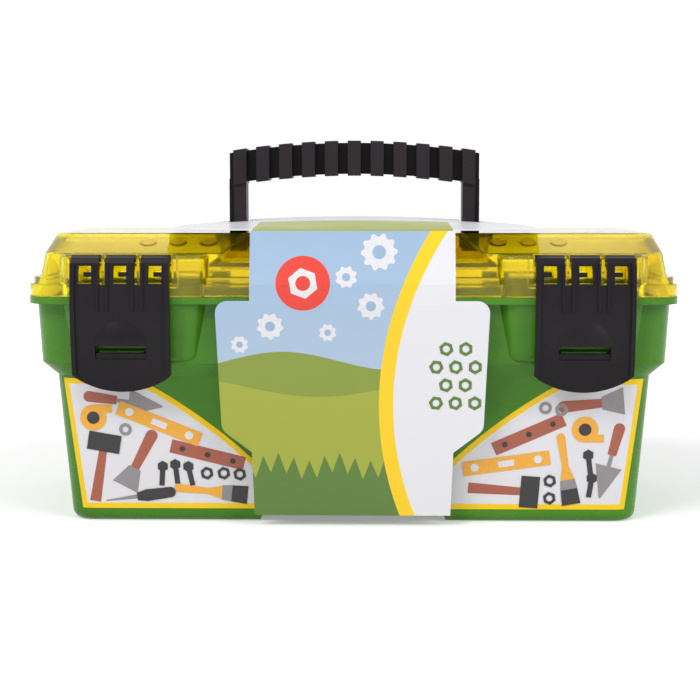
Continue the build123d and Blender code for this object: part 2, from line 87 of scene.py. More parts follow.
# Small tools on each label: which one, its middle as x outwards and z up, and how it is turned
LABEL_TOOLS = {
    -1: (
        ("trowel", 115, 62, 8), ("reel", 130, 53.5, 180), ("level", 97, 50.5, 22),
        ("mallet", 127, 29, 100), ("scraper", 107.5, 32, 118), ("plank", 73, 34.5, 14),
        ("brush", 71, 15.5, 6), ("awl", 107, 13, 172),
        ("bolt", 82, 24.5, -12), ("bolt", 89, 25.5, -6), ("bolt", 96, 24.5, 4),
        ("nut", 57, 24.5, 0), ("nut", 65, 25, 0), ("nut", 73.5, 25, 0), ("washer", 114, 47.5, 0),
    ),
    1: (
        ("scraper", 119, 61, 186), ("trowel", 129, 32, 76), ("plank", 88, 45.5, 24),
        ("level", 77, 30.5, 8), ("brush", 107, 27, 100), ("mallet", 77, 16.5, -4),
        ("reel", 116, 48, 0), ("bolt", 118.5, 31, 8), ("bolt", 119.5, 19, -8),
        ("nut", 99, 12.5, 0), ("nut", 99, 21.5, 0), ("washer", 96, 59, 0), ("washer", 104, 58, 0),
    ),
}

# Shapes on the card, in millimetres: the red spot, the cogs as (middle, radius, teeth), the nuts
CARD_SPOT = (-24, 122)
SPOT_RADIUS = 13.2
SPOT_NUT_RADIUS = 7.5
CARD_COGS = (
    ((13, 137), 7.5, 10), ((-3, 125), 4.5, 8), ((9, 111), 5.5, 9), ((-40, 101), 5.5, 9),
    ((-55, 92), 3.6, 8), ((-12, 98), 3.6, 8),
)
COG_TOOTH = 0.2
COG_HUB = 0.44
COG_TURN = 7
NUT_HOLE = 0.48
NUT_TURN = 10
CARD_NUTS_TOP = (60, 90)
CARD_NUTS_STEP = (9.5, 9)
CARD_NUTS_ROWS = 4
CARD_NUT_RADIUS = 3.6

# Fields of the card, in metres: the hills, far and near, as (waves, height, start, top), the row of
# teeth, the yellow band round the white field, the fading blue with how much paler it starts, the
# far hill's share of light green, and the green of the top panel
CARD_HILLS = ((58.0, 0.0045, 0.4, 0.084), (44.0, 0.005, 2.3, 0.071))
TEETH_WAVE = (210.0, 0.002, 0.0)
TEETH_HALF = 0.0038
TEETH_STEEPNESS = 2.6
TEETH_SHIFT = 0.2
TEETH_TOP = 0.026
BAND_CENTRE = (0.170, 0.062)
BAND_RADII = (0.157, 0.150)
SKY_FADE = (0.085, 0.15)
SKY_PALER = 0.12
OLIVE_LIGHTNESS = 0.55
PANEL_HEIGHT = 0.14715
PANEL_FIELD_BACK = -0.020
PANEL_FIELD_HALF = 0.049

# Print: how much higher each shape of a drawing lies, how much of its layer the ink fills, and how
# soft the border of a field is
SHAPE_LIFT = 0.0000015
INK_SHARE = 0.9
FIELD_EDGE = 0.0001

# Colours that aren't worth a setting
DUST = (0.30, 0.30, 0.29, 1)
STEEL = ((0.46, 0.46, 0.47, 1), (0.63, 0.63, 0.64, 1))
BOARD = ((0.42, 0.40, 0.37, 1), (0.52, 0.50, 0.47, 1))

# Stage, in metres and watts
LAMPS = (
    ("key", (-0.80, -0.95, 1.15), (0.7, 0.6), 13.0),
    ("fill", (1.05, -0.85, 0.80), (0.7, 0.6), 9.0),
    ("top", (0.0, 0.15, 1.5), (2.0, 1.6), 5.5),
)
LAMP_AIM = (0, 0, 0.08)
FLOOR_SIZE = 6
FLOOR_WHITE = (0.86, 0.86, 0.86, 1)
FLOOR_GLOW_REACH = (0.25, 0.9)
AMBIENT = 0.30


# Properties


class BoxColours(bpy.types.PropertyGroup):
    """Colours of the plastics and of the print, as linear values."""

    tub: bpy.props.FloatVectorProperty(
        name="Tub", description="Green of the moulded tub", subtype="COLOR", size=4,
        default=(0.058, 0.225, 0.006, 1),
    )
    lid: bpy.props.FloatVectorProperty(
        name="Lid", description="Yellow of the clear lid", subtype="COLOR", size=4,
        default=(1.0, 0.80, 0.006, 1),
    )
    latch: bpy.props.FloatVectorProperty(
        name="Latches", description="Near black of the latches", subtype="COLOR", size=4,
        default=(0.0085, 0.0055, 0.0085, 1),
    )
    handle: bpy.props.FloatVectorProperty(
        name="Handle", description="Near black of the handle and its pins", subtype="COLOR",
        size=4, default=(0.023, 0.017, 0.022, 1),
    )
    paper: bpy.props.FloatVectorProperty(
        name="Paper", description="White of the card and labels", subtype="COLOR", size=4,
        default=(0.78, 0.77, 0.81, 1),
    )
    sky: bpy.props.FloatVectorProperty(
        name="Pale blue", description="Blue upper part of the card", subtype="COLOR", size=4,
        default=(0.325, 0.465, 0.65, 1),
    )
    yellow: bpy.props.FloatVectorProperty(
        name="Print yellow", description="Yellow bands of the print", subtype="COLOR", size=4,
        default=(0.95, 0.62, 0.010, 1),
    )
    light_green: bpy.props.FloatVectorProperty(
        name="Light green", description="Middle green field of the card", subtype="COLOR", size=4,
        default=(0.355, 0.395, 0.045, 1),
    )
    dark_green: bpy.props.FloatVectorProperty(
        name="Dark green", description="Lowest green field of the card", subtype="COLOR", size=4,
        default=(0.100, 0.200, 0.032, 1),
    )
    red: bpy.props.FloatVectorProperty(
        name="Red", description="Round spot on the card", subtype="COLOR", size=4,
        default=(0.80, 0.055, 0.035, 1),
    )
    wood: bpy.props.FloatVectorProperty(
        name="Brown red", description="Grips of the small printed tools", subtype="COLOR", size=4,
        default=(0.40, 0.11, 0.065, 1),
    )
    orange: bpy.props.FloatVectorProperty(
        name="Orange", description="Orange parts of the small printed tools", subtype="COLOR",
        size=4, default=(0.90, 0.43, 0.045, 1),
    )
    grey: bpy.props.FloatVectorProperty(
        name="Grey", description="Metal parts of the small printed tools", subtype="COLOR",
        size=4, default=(0.29, 0.27, 0.285, 1),
    )
    ink: bpy.props.FloatVectorProperty(
        name="Ink", description="Dark parts of the small printed tools", subtype="COLOR", size=4,
        default=(0.03, 0.028, 0.03, 1),
    )


class BoxSizes(bpy.types.PropertyGroup):
    """Sizes of the details that the finish adds, and where the camera stands."""

    edge_round: bpy.props.FloatProperty(
        name="Edge round", description="Radius that the edges of the plastic catch light with",
        subtype="DISTANCE", unit="LENGTH", default=0.0006,
    )
    print_lift: bpy.props.FloatProperty(
        name="Print lift", description="Thickness of one printed layer", subtype="DISTANCE",
        unit="LENGTH", default=0.00006,
    )
    camera_distance: bpy.props.FloatProperty(
        name="Camera distance", description="From the origin to the camera along the floor",
        subtype="DISTANCE", unit="LENGTH", default=0.7786,
    )
    camera_height: bpy.props.FloatProperty(
        name="Camera height", description="Height of the camera over the floor",
        subtype="DISTANCE", unit="LENGTH", default=0.170,
    )
    camera_side: bpy.props.FloatProperty(
        name="Camera side", description="How far the camera stands to the right of the middle",
        subtype="DISTANCE", unit="LENGTH", default=0.010,
    )
    camera_turn: bpy.props.FloatProperty(
        name="Camera turn", description="How far the camera turns to the left", subtype="ANGLE",
        unit="ROTATION", default=0.0159,
    )
    camera_tilt: bpy.props.FloatProperty(
        name="Camera tilt", description="How far the camera looks down", subtype="ANGLE",
        unit="ROTATION", default=math.radians(6.56),
    )
    camera_lens: bpy.props.FloatProperty(
        name="Lens", description="Focal length of the camera", unit="CAMERA", default=74.4,
    )


def colours():
    """The colours as they are set in the scene."""
    return bpy.context.scene.box_colours


def sizes():
    """The sizes as they are set in the scene."""
    return bpy.context.scene.box_sizes


# Material helpers


class Finish:
    """A material's nodes, with short calls that add and join them."""

    def __init__(self, name):
        self.material = bpy.data.materials.new(name)
        self.material.use_nodes = True
        self.tree = self.material.node_tree
        self.shader = self.tree.nodes["Principled BSDF"]
        self.place = self.node("ShaderNodeTexCoord").outputs["Object"]

    def node(self, kind, **settings):
        made = self.tree.nodes.new(kind)
        for key, value in settings.items():
            setattr(made, key, value)
        return made

    def put(self, value, socket):
        """Sets a socket to a number or colour, or joins another node's output to it."""
        if isinstance(value, bpy.types.NodeSocket):
            self.tree.links.new(value, socket)
        else:
            socket.default_value = value

    def surface(self, **values):
        """Puts values on the shader's own sockets, named with _ for each space."""
        for name, value in values.items():
            self.put(value, self.shader.inputs[name.replace("_", " ")])

    def math(self, operation, a, b=0.0):
        made = self.node("ShaderNodeMath", operation=operation)
        self.put(a, made.inputs[0])
        self.put(b, made.inputs[1])
        return made.outputs[0]

    def noise(self, scale, detail=3.0, roughness=0.5, place=None):
        made = self.node("ShaderNodeTexNoise")
        self.put(place or self.place, made.inputs["Vector"])
        self.put(scale, made.inputs["Scale"])
        self.put(detail, made.inputs["Detail"])
        self.put(roughness, made.inputs["Roughness"])
        return made.outputs["Fac"]

    def stretched(self, scale):
        """The place on the object, scaled by axis, for a pattern that runs one way."""
        made = self.node("ShaderNodeMapping")
        self.put(self.place, made.inputs["Vector"])
        self.put(scale, made.inputs["Scale"])
        return made.outputs["Vector"]

    def span(self, value, low, high, new_low, new_high):
        """Moves value from low..high to new_low..new_high, and holds it there."""
        made = self.node("ShaderNodeMapRange")
        for item, socket in zip((value, low, high, new_low, new_high), made.inputs):
            self.put(item, socket)
        return made.outputs["Result"]

    def patchy(self, scale, detail, low=0.0, high=1.0):
        """A noise that fills low..high."""
        return self.span(self.noise(scale, detail), 0.3, 0.7, low, high)

    def mix(self, share, a, b):
        made = self.node("ShaderNodeMix", data_type="RGBA")
        self.put(share, made.inputs["Factor"])
        self.put(a, made.inputs["A"])
        self.put(b, made.inputs["B"])
        return made.outputs["Result"]

    def axes(self, names):
        """The named axes of the place on the object."""
        made = self.node("ShaderNodeSeparateXYZ")
        self.put(self.place, made.inputs[0])
        return [made.outputs[name] for name in names]

    def distance(self, x, z, centre):
        """How far a place is from a centre, seen from the front."""
        dx = self.math("SUBTRACT", x, centre[0])
        dz = self.math("SUBTRACT", z, centre[1])
        squares = self.math("ADD", self.math("MULTIPLY", dx, dx), self.math("MULTIPLY", dz, dz))
        return self.math("SQRT", squares)

    def over(self, value, edge):
        """1 where value is over edge, with a thin soft border."""
        return self.span(self.math("SUBTRACT", value, edge), -FIELD_EDGE, FIELD_EDGE, 0.0, 1.0)

    def under(self, value, edge):
        """1 where value is under edge."""
        return self.math("SUBTRACT", 1.0, self.over(value, edge))

    def relief(self, height, strength, depth, rounded=None):
        made = self.node("ShaderNodeBump")
        self.put(strength, made.inputs["Strength"])
        self.put(depth, made.inputs["Distance"])
        self.put(height, made.inputs["Height"])
        if rounded is not None:
            self.put(rounded, made.inputs["Normal"])
        return made.outputs["Normal"]

    def soft_edges(self, radius):
        made = self.node("ShaderNodeBevel", samples=4)
        self.put(radius, made.inputs["Radius"])
        return made.outputs["Normal"]


def shaded(colour, share):
    """A colour made darker."""
    return tuple(part * share for part in tuple(colour)[:3]) + (1,)


def moulded_plastic(name, colour, gloss, grain, shine, shade=None):
    """Moulded plastic with a fine grain, faint flow marks, handling marks and worn gloss.

    gloss holds the least and the greatest roughness, grain its scale and depth, shine the share
    of light that the surface mirrors, and shade tells where painted shade darkens the colour.
    """
    make = Finish(name)
    paler = tuple(min(1.0, part * 1.10 + 0.002) for part in tuple(colour)[:3]) + (1,)
    flow = make.noise(9, 4, 0.55, make.stretched((1.0, 1.0, 2.6)))
    tone = make.mix(make.span(flow, 0.32, 0.68, 0.0, 1.0), shaded(colour, 0.86), paler)
    dust = make.span(make.noise(1100, 2, 0.6), 0.60, 0.75, 0.0, 0.025)
    tone = make.mix(dust, tone, DUST)
    # Painted shade: where the shade mask is 1, the colour falls to a tenth of itself
    if shade is not None:
        tone = make.mix(shade(make), tone, shaded(colour, 0.1))
    rubs = make.span(make.noise(26, 5, 0.62), 0.35, 0.7, *gloss)
    marks = make.noise(60, 3, 0.5, make.stretched((0.35, 1.0, 7.0)))
    scuffs = make.span(marks, 0.62, 0.74, 0.0, 0.10)
    edges = make.soft_edges(sizes().edge_round)
    make.surface(
        Base_Color=tone,
        Roughness=make.math("ADD", rubs, scuffs),
        Normal=make.relief(make.noise(grain[0], 2), 0.35, grain[1], edges),
        IOR=1.49,
        Specular_IOR_Level=shine,
    )
    return make


def dress(node, material):
    """Gives a CAD node its finish in every slot."""
    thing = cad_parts[node]
    if not thing.material_slots:
        thing.data.materials.append(material)
    for slot in thing.material_slots:
        slot.material = material


# Helpers for new pieces


def built(name, mesh, material):
    """Makes a bmesh an object of the scene."""
    data = bpy.data.meshes.new(name)
    mesh.to_mesh(data)
    mesh.free()
    made = bpy.data.objects.new(name, data)
    bpy.context.scene.collection.objects.link(made)
    data.materials.append(material)
    return made


def piece(name, mesh, material, body):
    """Makes a bmesh a finished object that rides on a body."""
    made = built(name, mesh, material)
    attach(made, body)


def edges_within(mesh, verts):
    """The edges whose two ends are both among the vertices, in the mesh's own order."""
    among = set(verts)
    return [edge for edge in mesh.edges if among.issuperset(edge.verts)]


# Print helpers: shapes are drawn flat as (x, z) in the XY plane, then laid on the card or a label


class Front:
    """A printed front: (height, depth) rows from foot to top, its body, and its material slot,
    which is not used.
    """

    def __init__(self, rows, body, slot):
        self.rows = rows
        self.body = body
        self.slot = slot

    def folds(self):
        """The heights at which the front bends."""
        return [height * MM for height, depth in self.rows[1:-1]]

    def point(self, x, z, lift):
        """The place on the front, or a little before it, of a point of a drawing."""
        height = z / MM
        for (low, start), (high, end) in zip(self.rows, self.rows[1:]):
            if height <= high:
                break
        depth = start + (end - start) * (height - low) / (high - low)
        return Vector((x, (depth + DEPTH_SHIFT) * MM - lift, z))


CARD_FRONT = Front(
    ((5.6, -69.6), (111.6, -78.4), (121.5, -78.4), (147.9, -70.3)), "lid", "card_print"
)
LABEL_FRONT = Front(((0.0, -58.7), (74.6, -64.2)), "tub", "label_print")


class Sheet:
    """A flat drawing that grows shape by shape and is then laid on a front.

    Each shape lies a hair over the one before, so that no two faces share a plane.
    """

    def __init__(self):
        self.mesh = bmesh.new()
        self.count = 0

    def placed(self, verts, at, angle=0.0):
        """Turns a new shape and moves it to its place."""
        self.count += 1
        place = (
            Matrix.Translation((at[0] * MM, at[1] * MM, self.count * SHAPE_LIFT))
            @ Matrix.Rotation(math.radians(angle), 4, "Z")
        )
        bmesh.ops.transform(self.mesh, matrix=place, verts=verts)

    def circle(self, radius, sides, filled=True):
        made = bmesh.ops.create_circle(
            self.mesh, cap_ends=filled, segments=sides, radius=radius * MM
        )
        return made["verts"]

    def disc(self, at, radius, sides=48):
        self.placed(self.circle(radius, sides), at)

    def ring(self, at, radius, hole, sides=48, angle=0.0):
        rims = self.circle(radius, sides, False) + self.circle(hole, 48, False)
        edges = edges_within(self.mesh, rims)
        bmesh.ops.triangle_fill(self.mesh, use_beauty=True, edges=edges)
        self.placed(rims, at, angle)

    def nut(self, at, radius, angle):
        """A hexagon with a round hole."""
        self.ring(at, radius, radius * NUT_HOLE, 6, angle)

    def cog(self, at, radius, teeth):
        """A disc whose rim is pushed out to teeth."""
        made = self.circle(radius, teeth * 4)
        grow = 1 + COG_TOOTH
        tips = [vert for number, vert in enumerate(made) if number % 4 in (1, 2)]
        bmesh.ops.scale(self.mesh, vec=(grow, grow, 1), verts=tips)
        self.placed(made, at, COG_TURN)

    def bar(self, start, end, width, end_width=None):
        """A straight bar between two points, which may taper."""
        run = Vector((end[0] - start[0], end[1] - start[1]))
        made = bmesh.ops.create_grid(self.mesh, x_segments=1, y_segments=1, size=0.5)["verts"]
        share = 1.0 if end_width is None else end_width / width
        tips = [vert for vert in made if vert.co.x > 0]
        bmesh.ops.scale(self.mesh, vec=(1, share, 1), verts=tips)
        bmesh.ops.scale(self.mesh, vec=(run.length * MM, width * MM, 1), verts=made)
        middle = ((start[0] + end[0]) / 2, (start[1] + end[1]) / 2)
        self.placed(made, middle, math.degrees(math.atan2(run.y, run.x)))

    def laid(self, name, front, layer, material):
        """Bends the drawing on to a front, gives it its thickness and makes it a piece."""
        mesh = self.mesh
        for fold in front.folds():
            bmesh.ops.bisect_plane(
                mesh, geom=mesh.verts[:] + mesh.edges[:] + mesh.faces[:], dist=1e-7,
                plane_co=(0, fold, 0), plane_no=(0, 1, 0),
            )
        lift = sizes().print_lift
        for vert in mesh.verts:
            x, z, over = vert.co
            vert.co = front.point(x, z, lift * layer + over)
        bmesh.ops.recalc_face_normals(mesh, faces=mesh.faces[:])
        bmesh.ops.solidify(mesh, geom=mesh.faces[:], thickness=lift * INK_SHARE)
        bmesh.ops.recalc_face_normals(mesh, faces=mesh.faces[:])
        piece(name, mesh, material, front.body)


def printed(name, colour):
    """Ink on card or vinyl, with the faint unevenness of a print."""
    make = Finish(name)
    speck = make.span(make.noise(900, 2), 0.35, 0.65, 0.0, 1.0)
    make.surface(
        Base_Color=make.mix(speck, shaded(colour, 0.93), tuple(colour)),
        Roughness=make.span(make.noise(40, 4, 0.6), 0.35, 0.7, 0.34, 0.46),
        Normal=make.relief(make.noise(700, 2), 0.15, 0.00004),
    )
    return make.material


# Operators


class BOX_OT_tub(bpy.types.Operator):
    """Gives the tub its green moulded plastic"""

    bl_idname = "toolbox.tub"
    bl_label = "Finish the tub"

    def execute(self, context):
        make = moulded_plastic(
            "tub_green_plastic", colours().tub, gloss=(0.22, 0.32), grain=(1500, 0.00006),
            shine=0.30,
        )
        make.surface(Subsurface_Weight=0.06, Subsurface_Radius=(0.001, 0.003, 0.0006))
        dress("tub", make.material)
        return {"FINISHED"}


class BOX_OT_lid(bpy.types.Operator):
    """Gives the lid its clear yellow plastic and adds the round marks of its roof"""

    bl_idname = "toolbox.lid"
    bl_label = "Finish the lid"

    def execute(self, context):
        make = moulded_plastic(
            "lid_clear_yellow", colours().lid, gloss=(0.03, 0.09), grain=(900, 0.00002), shine=0.3
        )
        make.surface(Transmission_Weight=0.90, IOR=1.38)
        dress("lid", make.material)
        roof_marks(make.material)
        return {"FINISHED"}


def roof_marks(material):
    """Six shallow round bosses on the sloping roof, three by each latch."""
    mesh = bmesh.new()
    start, end = (Vector((0, depth, height)) for depth, height in ROOF_SLOPE)
    slope = end - start
    tilt = Matrix.Rotation(math.atan2(slope.z, slope.y), 4, "X")
    at = start + slope * MARK_ALONG
    for side in (-1, 1):
        for number in range(3):
            rim = bmesh.ops.create_circle(
                mesh, cap_ends=True, segments=32, radius=MARK_RADIUS * MM
            )["verts"]
            top = rim[0].link_faces[0]
            bmesh.ops.inset_individual(
                mesh, faces=[top], thickness=MARK_BORDER * MM, depth=MARK_RISE * MM
            )
            extruded = bmesh.ops.extrude_edge_only(mesh, edges=edges_within(mesh, rim))["geom"]
            low = [item for item in extruded if isinstance(item, bmesh.types.BMVert)]
            bmesh.ops.translate(mesh, vec=(0, 0, -MARK_SINK * MM), verts=low)
            bmesh.ops.contextual_create(mesh, geom=edges_within(mesh, low))
            across = side * (MARK_FIRST + MARK_PITCH * number)
            place = Vector((across, at.y + DEPTH_SHIFT, at.z + MARK_PROUD)) * MM
            bmesh.ops.transform(
                mesh, matrix=Matrix.Translation(place) @ tilt, verts=rim + list(top.verts) + low
            )
    bmesh.ops.recalc_face_normals(mesh, faces=mesh.faces[:])
    piece("lid_roof_marks", mesh, material, "lid")


class BOX_OT_black_parts(bpy.types.Operator):
    """Gives the latches, the handle and its pins their black moulded plastic, with painted shade
    between the handle's ribs
    """

    bl_idname = "toolbox.black_parts"
    bl_label = "Finish the latches and handle"

    def execute(self, context):
        latch = moulded_plastic(
            "latch_black_plastic", colours().latch, gloss=(0.30, 0.42), grain=(1300, 0.00010),
            shine=0.18,
        )
        for node in ("latch_left", "latch_right"):
            dress(node, latch.material)
            latch_tongues(node, latch.material)
        # The handle's colour is darkened between its ribs as painted shade
        grip = moulded_plastic(
            "handle_black_plastic", colours().handle, gloss=(0.34, 0.48), grain=(1100, 0.00014),
            shine=0.14, shade=painted_rib_gap_shade,
        )
        for node in ("handle", "handle_pin_left", "handle_pin_right"):
            dress(node, grip.material)
        return {"FINISHED"}


def painted_rib_gap_shade(make):
    """1 between the handle's ribs, where the colour is darkened as painted shade."""
    (x,) = make.axes("X")
    from_rib = make.math("PINGPONG", x, RIB_PITCH / 2 * MM)
    return make.over(from_rib, RIB_HALF * MM)


def latch_tongues(node, material):
    """The small tongues in a latch's three windows and the lip in its slot."""
    low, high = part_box(node)
    middle = (low[0] / MM + high[0] / MM) / 2
    inner = -math.copysign(1, middle)
    mesh = bmesh.new()
    for number in (-1, 0, 1):
        window = middle + number * LATCH_PITCH
        ends = (window + inner * TONGUE_ENDS[0], window + inner * TONGUE_ENDS[1])
        rounded_bar(mesh, ends, TONGUE_DEPTHS, TONGUE_HEIGHTS)
    rounded_bar(mesh, (middle - LIP_HALF, middle + LIP_HALF), TONGUE_DEPTHS, LIP_HEIGHTS)
    piece(node + "_tongues", mesh, material, node)


def rounded_bar(mesh, x, y, z):
    """A bar with rounded edges between two places along each axis, in millimetres."""
    made = bmesh.ops.create_cube(mesh, size=MM)["verts"]
    size = (abs(x[1] - x[0]), abs(y[1] - y[0]), abs(z[1] - z[0]))
    bmesh.ops.scale(mesh, vec=size, verts=made)
    middle = Vector((x[0] + x[1], y[0] + y[1], z[0] + z[1])) * MM / 2
    bmesh.ops.translate(mesh, vec=middle, verts=made)
    bmesh.ops.bevel(
        mesh, geom=edges_within(mesh, made), offset=TONGUE_ROUND * MM, affect="EDGES",
        segments=3, profile=0.5, material=-1,
    )


class BOX_OT_hinge_pins(bpy.types.Operator):
    """Gives the hinge pins their drawn steel"""

    bl_idname = "toolbox.hinge_pins"
    bl_label = "Finish the hinge pins"

    def execute(self, context):
        make = Finish("pin_drawn_steel")
        lines = make.noise(300, place=make.stretched((0.05, 1, 1)))
        tone = make.span(lines, 0.3, 0.7, 0.0, 1.0)
        make.surface(
            Base_Color=make.mix(tone, *STEEL),
            Metallic=1.0,
            Roughness=make.span(tone, 0, 1, 0.22, 0.38),
        )
        for node in ("hinge_pin_left", "hinge_pin_right"):
            dress(node, make.material)
        return {"FINISHED"}


class BOX_OT_labels(bpy.types.Operator):
    """Prints the two labels: white, with a yellow border and small tools"""

    bl_idname = "toolbox.labels"
    bl_label = "Print the labels"

    def execute(self, context):
        palette = colours()
        inks = {
            name: printed("label_" + name, getattr(palette, name)) for name in LABEL_INKS
        }
        for side, node in ((-1, "label_left"), (1, "label_right")):
            dress(node, label_vinyl(side, node))
            for layer, (ink, drawing) in enumerate(label_tools(side).items(), 1):
                drawing.laid(f"{node}_{ink}", LABEL_FRONT, layer, inks[ink])
        return {"FINISHED"}


def circle_through(a, b, c):
    """(centre x, centre z, radius) of the circle through three points."""
    turn = 2 * (a[0] * (b[1] - c[1]) + b[0] * (c[1] - a[1]) + c[0] * (a[1] - b[1]))
    sums = [p[0] ** 2 + p[1] ** 2 for p in (a, b, c)]
    x = (sums[0] * (b[1] - c[1]) + sums[1] * (c[1] - a[1]) + sums[2] * (a[1] - b[1])) / turn
    z = (sums[0] * (c[0] - b[0]) + sums[1] * (a[0] - c[0]) + sums[2] * (b[0] - a[0])) / turn
    return x, z, math.hypot(a[0] - x, a[1] - z)


def label_vinyl(side, name):
    """White vinyl with a yellow border along its curve, its outer side, its foot and its top."""
    make = Finish(name + "_vinyl")
    x, z = make.axes("XZ")
    centre_x, centre_z, radius = circle_through(*LABEL_CURVE)
    from_curve = make.distance(x, z, (side * centre_x * MM, centre_z * MM))
    (low_x, low_z), (top_x, top_z) = LABEL_OUTER
    slope = (top_x - low_x) / (top_z - low_z)
    outwards = make.math("MULTIPLY", x, side)
    outwards = make.math("SUBTRACT", outwards, make.math("MULTIPLY", z, slope))
    border = make.over(from_curve, (radius - LABEL_BORDER) * MM)
    for strip in (
        make.over(outwards, (low_x - low_z * slope - LABEL_BORDER) * MM),
        make.over(z, (top_z - LABEL_BORDER) * MM),
        make.under(z, (low_z + LABEL_BORDER) * MM),
    ):
        border = make.math("MAXIMUM", border, strip)
    palette = colours()
    white = make.mix(make.patchy(30, 3), shaded(palette.paper, 0.95), tuple(palette.paper))
    make.surface(
        Base_Color=make.mix(border, white, tuple(palette.yellow)),
        Roughness=make.patchy(35, 4, 0.26, 0.38),
        Normal=make.relief(make.noise(500, 2), 0.15, 0.00004),
        Specular_IOR_Level=0.3,
    )
    return make.material


class ToolPrint:
    """Small printed tools, each drawn about its own middle and then placed and turned."""

    def __init__(self, side):
        self.side = side
        self.sheets = {name: Sheet() for name in LABEL_INKS}
        self.at = (0, 0)
        self.angle = 0.0

    def place(self, x, z, angle):
        """Says where the next tool stands."""
        self.at = (x, z)
        self.angle = math.radians(angle)

    def point(self, u, v):
        across = u * math.cos(self.angle) - v * math.sin(self.angle)
        up = u * math.sin(self.angle) + v * math.cos(self.angle)
        return self.side * (self.at[0] + across), self.at[1] + up

    def bar(self, ink, start, end, width, end_width=None):
        self.sheets[ink].bar(self.point(*start), self.point(*end), width, end_width)

    def disc(self, ink, at, radius, sides=32):
        self.sheets[ink].disc(self.point(*at), radius, sides)

    def trowel(self):
        self.bar("grey", (-20, 0), (-3, 0), 0.8, 13.5)
        self.bar("grey", (-3, 0), (3, 0), 2.0)
        self.bar("wood", (3, 0), (17, 0), 4.4, 5.6)
        self.disc("wood", (17, 0), 2.8)

    def level(self):
        self.bar("orange", (-22, 0), (22, 0), 7.4)
        self.bar("paper", (-4, 0), (4, 0), 3.2)
        self.bar("ink", (-1.2, -1.6), (-1.2, 1.6), 0.5)
        self.bar("ink", (1.2, -1.6), (1.2, 1.6), 0.5)
        for place in (-16, 16):
            self.disc("paper", (place, 0), 2.1)

    def mallet(self):
        self.bar("wood", (-19, 0), (12, 0), 5.6, 3.8)
        self.bar("ink", (12, -8.2), (12, 8.2), 9.4)

    def brush(self):
        self.bar("ink", (-18, 0), (-10, 0), 9.4, 8.4)
        self.bar("grey", (-10, 0), (-5, 0), 8.6, 7.4)
        self.bar("orange", (-5, 0), (2, 0), 7.0, 3.2)
        self.bar("orange", (2, 0), (17, 0), 3.2, 4.4)
        self.disc("orange", (17, 0), 2.2)

    def scraper(self):
        self.bar("grey", (-16, 0), (-5, 0), 14.0, 6.4)
        self.bar("wood", (-5, 0), (14, 0), 4.4, 6.0)
        self.disc("wood", (14, 0), 3.0)

    def awl(self):
        self.bar("grey", (-18, 0), (-2, 0), 0.6, 2.2)
        self.bar("ink", (-2, 0), (3, 0), 4.0, 6.2)
        self.bar("ink", (3, 0), (15, 0), 6.2, 5.4)
        self.disc("ink", (15, 0), 2.7)

    def plank(self):
        self.bar("wood", (-19, 0), (19, 0), 7.0)
        for place in (-13, 0, 13):
            self.disc("ink", (place, 0), 1.4)

    def reel(self):
        self.disc("orange", (0, 0), 6.6)
        self.bar("orange", (0, -4.6), (9.5, -4.6), 4.0)
        self.disc("ink", (0, 0), 3.2)

    def bolt(self):
        self.disc("ink", (0, 4), 2.9, 6)
        self.bar("ink", (0, 4), (0, -6), 2.6)

    def nut(self):
        self.sheets["ink"].nut(self.point(0, 0), 3.4, NUT_TURN)

    def washer(self):
        self.sheets["grey"].ring(self.point(0, 0), 3.2, 1.5)


def label_tools(side):
    """The small tools of one label, as drawings by ink."""
    prints = ToolPrint(side)
    for tool, x, z, angle in LABEL_TOOLS[side]:
        prints.place(x, z, angle)
        getattr(prints, tool)()
    return prints.sheets


class BOX_OT_card(bpy.types.Operator):
    """Prints the card: blue, white and green fields, a yellow band, cogs, nuts and a red spot"""

    bl_idname = "toolbox.card"
    bl_label = "Print the card"

    def execute(self, context):
        dress("card_sleeve", card_board())
        palette = colours()
        cogs, hubs, spot, spot_nut = Sheet(), Sheet(), Sheet(), Sheet()
        for place, radius, teeth in CARD_COGS:
            cogs.cog(place, radius, teeth)
            hubs.disc(place, radius * COG_HUB)
        spot.disc(CARD_SPOT, SPOT_RADIUS, 72)
        spot_nut.nut(CARD_SPOT, SPOT_NUT_RADIUS, NUT_TURN)
        pale = printed("card_pale_ink", palette.paper)
        blue = printed("card_sky_ink", palette.sky)
        red = printed("card_red_ink", palette.red)
        green = printed("card_green_ink", palette.dark_green)
        for name, drawing, layer, ink in (
            ("card_cogs", cogs, 1, pale),
            ("card_cog_hubs", hubs, 2, blue),
            ("card_red_spot", spot, 1, red),
            ("card_spot_nut", spot_nut, 2, pale),
            ("card_nuts", card_nuts(), 1, green),
        ):
            drawing.laid(name, CARD_FRONT, layer, ink)
        return {"FINISHED"}


def card_nuts():
    """The group of nuts on the white field, in rows of two and three."""
    nuts = Sheet()
    start, step = CARD_NUTS_TOP, CARD_NUTS_STEP
    for row in range(CARD_NUTS_ROWS):
        inset = (row + 1) % 2 * step[0] / 2
        for number in range(2 + row % 2):
            at = (start[0] - number * step[0] - inset, start[1] - row * step[1])
            nuts.nut(at, CARD_NUT_RADIUS, 12 * number)
    return nuts


